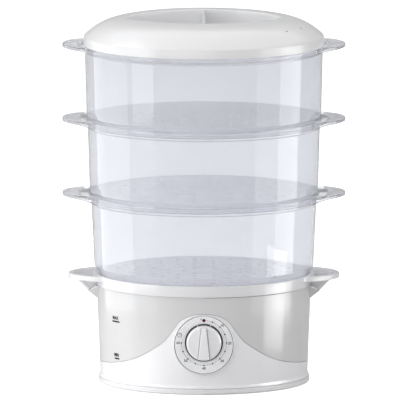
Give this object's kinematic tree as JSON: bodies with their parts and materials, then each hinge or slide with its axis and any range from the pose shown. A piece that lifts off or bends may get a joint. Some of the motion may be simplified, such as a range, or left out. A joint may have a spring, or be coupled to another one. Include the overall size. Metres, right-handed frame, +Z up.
{
  "type": "electric food steamer",
  "caption": "Stacked electric food steamer: round base with water tank and timer dial, drip tray with fill handles, clear nesting baskets and a domed lid.",
  "frame": {"origin": "centre of the footprint on the surface the rubber feet stand on", "axes": "+Z up along the stack, -Y to the front (dial), +X to the right seen from the front"},
  "size_m": [0.3056, 0.26, 0.397],
  "materials": {
    "lid": "glossy white polypropylene",
    "basket": "clear moulded plastic, faint grey tint",
    "white_shell": "glossy white polypropylene",
    "tank": "translucent silver-grey plastic",
    "foot_rubber": "matt rubber",
    "steel": "bright steel",
    "gland_rubber": "white rubber",
    "dial": "silver-white plastic with printed scale",
    "knob": "glossy white plastic",
    "timer_plastic": "black engineering plastic",
    "zinc_plate": "zinc-plated sheet steel",
    "brass": "turned brass",
    "gear_plastic": "natural acetal",
    "cast_heater": "cast and turned aluminium",
    "silicone": "translucent silicone rubber",
    "heater_steel": "heat-tinted stainless sheath",
    "fuse_white": "ceramic sleeve",
    "terminal": "cream terminal block",
    "wire": "silicone-insulated wire"
  },
  "bodies": {
    "base": {"tank_shell": "tank", "fill_spout_left": "tank", "fill_spout_right": "tank", "lower_housing": "white_shell", "bottom_cover": "white_shell", "rubber_feet": "foot_rubber", "cover_screws": "steel", "cord_gland": "gland_rubber", "dial_plate": "dial", "timer_case": "timer_plastic", "timer_back_plate": "zinc_plate", "timer_bracket": "zinc_plate", "timer_bush": "brass", "timer_screws": "steel", "timer_bell": "steel", "bell_screw": "steel", "bell_striker": "zinc_plate", "heater_body": "cast_heater", "heater_seal": "silicone", "heating_element": "heater_steel", "heater_clamp": "zinc_plate", "heater_screws": "steel", "thermostat": "timer_plastic", "thermal_fuse": "fuse_white", "terminal_block": "terminal", "inner_wires": "wire"},
    "knob": {"timer_knob": "knob", "timer_shaft": "steel", "timer_drive_gear": "gear_plastic"},
    "pinion": {"timer_pinion": "brass", "pinion_arbor": "steel"},
    "steam_ring": {"steam_ring": "white_shell"},
    "tray": {"drip_tray": "white_shell"},
    "lower_basket": {"basket_1": "basket", "basket_floor_1": "basket"},
    "middle_basket": {"basket_2": "basket", "basket_floor_2": "basket"},
    "upper_basket": {"basket_3": "basket", "basket_floor_3": "basket"},
    "lid": {"lid": "lid"}
  },
  "joints": [
    {"name": "timer_turn", "type": "hinge", "parent": "base", "child": "knob", "pos_m": [0, -0.115, 0.0574], "axis": [0, 1, 0], "range_deg": [0, 270]},
    {"name": "pinion_spin", "type": "hinge", "parent": "base", "child": "pinion", "pos_m": [0.01167, -0.096, 0.06907], "axis": [0, 1, 0], "range_deg": [-720.5, 0.5]},
    {"name": "steam_ring_lift", "type": "slide", "parent": "base", "child": "steam_ring", "axis": [0, 0, 1], "range_m": [0, 0.014]},
    {"name": "tray_lift", "type": "slide", "parent": "base", "child": "tray", "axis": [0, 0, 1], "range_m": [0, 0.08]},
    {"name": "lower_basket_lift", "type": "slide", "parent": "tray", "child": "lower_basket", "axis": [0, 0, 1], "range_m": [0, 0.08]},
    {"name": "middle_basket_lift", "type": "slide", "parent": "lower_basket", "child": "middle_basket", "axis": [0, 0, 1], "range_m": [0, 0.08]},
    {"name": "upper_basket_lift", "type": "slide", "parent": "middle_basket", "child": "upper_basket", "axis": [0, 0, 1], "range_m": [0, 0.08]},
    {"name": "lid_lift", "type": "slide", "parent": "upper_basket", "child": "lid", "axis": [0, 0, 1], "range_m": [0, 0.1]}
  ],
  "couplings": [
    {"joint": "pinion_spin", "follows": "timer_turn", "ratio": -2.6667}
  ]
}
